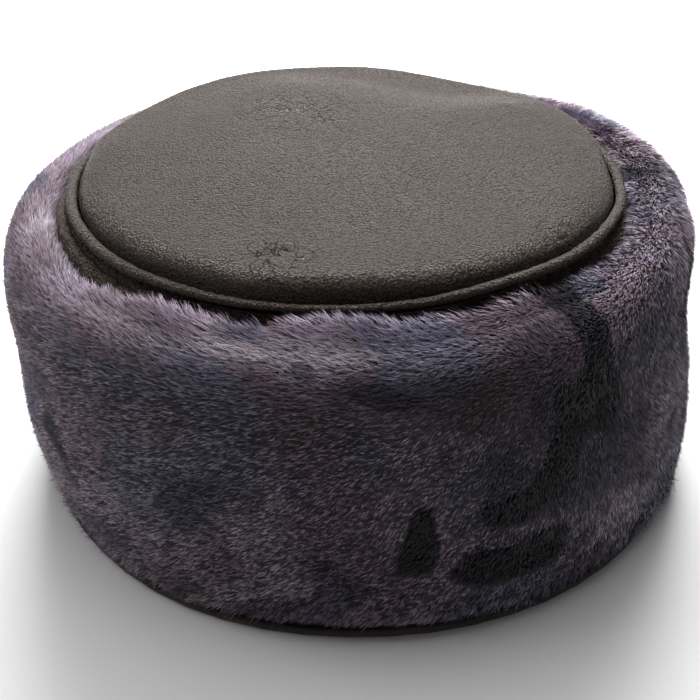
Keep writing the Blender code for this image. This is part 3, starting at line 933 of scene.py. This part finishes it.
# %% Press creases and puckers into the top
PUCKER_RUN = 3.1 * MM
PUCKER_DEPTH = 0.28 * MM
PUCKER_REACH = 5.0 * MM
RIM_RADIUS = 89.5 * MM
CREASE_DEEPER = 1.8
RIM_UP_BEHIND = 1.3 * MM
RIM_OUT_BEHIND = 1.1 * MM
DIMPLE_DEPTH = 0.16 * MM
CREASES = [  # x, y, length, turn in degrees, depth, width, all in mm
    (-22, 30, 26, 8, 0.45, 1.6), (-12, 22, 20, -18, 0.4, 1.4), (-30, 38, 18, 24, 0.35, 1.5),
    (-4, 14, 16, -34, 0.35, 1.3), (-36, 24, 16, 4, 0.3, 1.6), (10, 34, 18, -12, 0.3, 1.6),
    (-24, -63, 12, 20, 0.5, 1.2), (-18, -60, 10, -50, 0.5, 1.1), (-14, -66, 9, 70, 0.45, 1.0),
    (-28, -56, 9, -20, 0.35, 1.0), (61, -51, 7, -14, 0.55, 0.9), (66, -46, 5, 30, 0.35, 0.8),
]


def crease_depth(points):
    """Depth of all the creases at each point, seen from above."""
    depth = np.zeros(len(points))
    for x, y, length, turn, deep, wide in CREASES:
        away = points[:, :2] - np.array([x, y]) * MM
        c, s = math.cos(math.radians(turn)), math.sin(math.radians(turn))
        along, across = away @ np.array([c, s]), away @ np.array([-s, c])
        across = across + 1.2 * MM * np.sin(along / (length * MM) * 7.0)
        fade = np.exp(-(along / (length * MM * 0.42)) ** 2 - (across / (wide * MM)) ** 2)
        depth += CREASE_DEEPER * deep * MM * fade
    return depth


def needle_puckers(azimuth, inward):
    """Depth of the small gathers along the rim, fading inwards."""
    beat = azimuth * RIM_RADIUS / PUCKER_RUN
    uneven = 0.6 + 0.8 * ripple(beat * 0.31, azimuth * 0, 31)
    wave = 0.5 - 0.5 * np.cos(2 * math.pi * (beat + 0.5 * ripple(beat * 0.2, azimuth * 0, 37)))
    return PUCKER_DEPTH * wave * uneven * np.exp(-np.maximum(inward, 0.0) / (PUCKER_REACH * 0.5))


top = welded_copy("crown_tip", "crown_top")
finish_with(top, "SUBSURF", levels=3, render_levels=3)
places, outward = points_of(top), normals_of(top)
turn, radius = oval_place(places)
upper = ease((outward[:, 2] - 0.05) / 0.3)
press = crease_depth(places) + needle_puckers(turn, RIM_RADIUS - radius)
dimples = ripple(places[:, 0] / (5 * MM), places[:, 1] / (5 * MM), 41)
dimples = dimples + 0.6 * ripple(places[:, 0] / (2.6 * MM), places[:, 1] / (2.6 * MM), 43)
press = press + DIMPLE_DEPTH * dimples
behind = ease((np.sin(turn) - 0.05) / 0.3)
press = press - RIM_UP_BEHIND * behind * ease(1.0 - (RIM_RADIUS - radius) / (7 * MM))
places = places - outward * (press * upper)[:, None]
away = unit(np.stack([np.cos(turn), np.sin(turn), 0 * turn], 1))
pushed = RIM_OUT_BEHIND * behind * ease((radius - RIM_RADIUS + 5 * MM) / (4 * MM))
move_to(top, places + away * pushed[:, None])
only(top)
bpy.ops.object.shade_smooth()
top.data.materials.append(tip_leather)
top.data.materials.append(flesh_side)
for face in top.data.polygons:
    face.material_index = 1 if face.normal.z < -0.2 else 0
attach(top, "root")
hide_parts("crown_tip")
print("top", triangles(top), "triangles")

# %% [markdown]
# ## The piping
# The piping is a cord sewn into a folded strip of leather. Its solid gives the line that it
# follows. A new torus is wrapped on that line, with enough rings for a pucker at each stitch.

# %% Wrap the piping
PIPING_RINGS = 256
PIPING_SIDES = 8
PIPING_RADIUS = 1.9 * MM
PIPING_WAVES = 12
PIPING_IN_BEHIND = 0.9 * MM
PIPING_DOWN_BEHIND = 1.3 * MM
PIPING_UP_IN_FRONT = 0.5 * MM


def line_of_piping():
    """Centre of the piping's solid as a smooth function of azimuth."""
    solid = welded_copy("crown_welt", "line_guide")
    points = points_of(solid)
    bpy.data.objects.remove(solid)
    azimuth = oval_place(points)[0]
    step = ring_step(azimuth)
    centres = np.array([points[step == number].mean(0) for number in range(LIP_STEPS)])
    return ring_line(np.arange(LIP_STEPS) / LIP_STEPS * 2 * math.pi, centres, PIPING_WAVES)


piping_line = line_of_piping()
bpy.ops.object.select_all(action="DESELECT")
bpy.ops.mesh.primitive_torus_add(major_radius=RIM_RADIUS, minor_radius=PIPING_RADIUS,
                                 major_segments=PIPING_RINGS, minor_segments=PIPING_SIDES)
piping = bpy.context.active_object
piping.name = piping.data.name = "crown_piping"
finish_with(piping, "SUBSURF", levels=2, render_levels=2)
places = points_of(piping)
azimuth = np.arctan2(places[:, 1], places[:, 0]) % (2 * math.pi)
out = np.hypot(places[:, 0], places[:, 1]) - RIM_RADIUS
centre = piping_line(azimuth)
ahead = unit(piping_line(azimuth + 0.01) - piping_line(azimuth - 0.01))
outwards = unit(np.cross(ahead, np.array([0.0, 0.0, 1.0])))
above = np.cross(outwards, ahead)
beat = azimuth * RIM_RADIUS / PUCKER_RUN + 0.8 * ripple(azimuth * 9, azimuth * 0, 55)
girth = 1.13 - 0.1 * ripple(azimuth * 17, azimuth * 0, 57) * (0.5 + 0.5 * np.cos(2 * math.pi * beat)) ** 2
girth = girth - 0.14 * ripple(azimuth * 55, out / (1.5 * MM), 51)
girth = girth - 0.1 * ripple(azimuth * 110, out / (0.8 * MM), 53)
girth = girth + 0.08 * around(azimuth, 205, 34) - 0.35 * around(azimuth, 266, 22)
behind = ease((np.sin(azimuth) - 0.05) / 0.3)
centre = centre - outwards * (PIPING_IN_BEHIND * behind)[:, None]
centre[:, 2] += PIPING_UP_IN_FRONT * around(azimuth, 266, 30) - PIPING_DOWN_BEHIND * behind
move_to(piping, centre + (outwards * out[:, None] + above * places[:, 2:3]) * girth[:, None])
only(piping)
bpy.ops.object.shade_smooth()
piping.data.materials.append(piping_leather)
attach(piping, "root")
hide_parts("crown_welt")
print("piping", triangles(piping), "triangles")

# %% [markdown]
# ## The strip below the piping
# A narrow strip of the same leather joins the piping to the band. It shows most at the left,
# where it is gathered into short folds across its width.

# %% Gather the strip
STRIP_INNER_RADIUS = 92.0 * MM
STRIP_WIDTH = 7.0 * MM
FOLD_DEPTH = 0.7  # mm, as the swell is
strip = welded_copy("crown_side", "crown_strip")
finish_with(strip, "SUBSURF", levels=2, render_levels=2)
places, outward = points_of(strip), normals_of(strip)
turn, radius = oval_place(places)
sloping = ease((outward[:, 2] - 0.1) / 0.3) * ease((places[:, 2] - 92 * MM) / (5 * MM))
folds = ripple(turn * RIM_RADIUS / (2.4 * MM), radius / (9 * MM), 61)
folds = folds + 0.5 * ripple(turn * RIM_RADIUS / (1.4 * MM), radius / (3 * MM), 63)
across = np.clip((radius - STRIP_INNER_RADIUS) / STRIP_WIDTH, 0.0, 1.0)
swell = np.sin(across ** 0.6 * math.pi) * (1.2 + 2.2 * around(turn, 200, 44))
move_to(strip, places + outward * ((swell - FOLD_DEPTH * folds) * MM * sloping)[:, None])
only(strip)
bpy.ops.object.shade_smooth()
strip.data.materials.append(strip_leather)
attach(strip, "root")
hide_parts("crown_side")
print("strip", triangles(strip), "triangles")

# %% [markdown]
# ## The lower edge
# The bottom of the band is bound with thin dark brown leather. Its solid is already right, so
# a finer copy only gets rounder edges.

# %% Bind the lower edge
binding = welded_copy("hem_binding", "hem_edging")
finish_with(binding, "BEVEL", width=0.4 * MM, segments=2, limit_method="ANGLE")
only(binding)
bpy.ops.object.shade_smooth()
binding.data.materials.append(edging)
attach(binding, "root")
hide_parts("hem_binding")
print("binding", triangles(binding), "triangles")

# %% [markdown]
# ## The studio
# The hat stands on a pale floor. A wide soft light hangs above and behind it, which greys the
# leather with a broad sheen and lights the roll of the plush, and a weaker one stands left.

# %% Set the floor and lights
bpy.ops.object.select_all(action="DESELECT")
bpy.ops.mesh.primitive_plane_add(size=6.0)
floor = bpy.context.active_object
floor.name = "floor"
floor_finish = Finish("floor_paper")
floor_finish.dress(Base_Color=(0.94, 0.94, 0.94, 1.0), Roughness=0.9)
floor.data.materials.append(floor_finish.material)


def soft_light(name, place, size, power):
    """A square area light that faces the hat."""
    lamp = bpy.data.lights.new(name, "AREA")
    lamp.shape, lamp.size, lamp.energy = "SQUARE", size, power
    holder = bpy.data.objects.new(name, lamp)
    bpy.context.scene.collection.objects.link(holder)
    holder.location = place
    toward = CAMERA_AIM - Vector(place)
    holder.rotation_mode = "QUATERNION"
    holder.rotation_quaternion = toward.to_track_quat("-Z", "Y")


soft_light("back_light", (0.05, 0.85, 0.8), 0.8, 35.0)
soft_light("top_light", (0.0, 0.1, 1.2), 0.6, 4.5)
soft_light("left_light", (-0.8, 0.05, 0.95), 0.6, 3.2)
soft_light("front_light", (0.2, -1.1, 0.9), 0.9, 0.35)
world = bpy.data.worlds.new("studio")
bpy.context.scene.world = world
world.use_nodes = True
world.node_tree.nodes["Background"].inputs[0].default_value = (1.0, 1.0, 1.0, 1.0)
world.node_tree.nodes["Background"].inputs[1].default_value = 0.09
bpy.context.scene.view_settings.view_transform = "Standard"
print("lights", len(bpy.data.lights), "and a pale floor")

# %% Measure and finish
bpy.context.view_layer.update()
shown = [piece for piece in bpy.data.objects if piece.type == "MESH" and not piece.hide_render]
print("all pieces", sum(triangles(piece) for piece in shown if piece is not floor), "triangles")
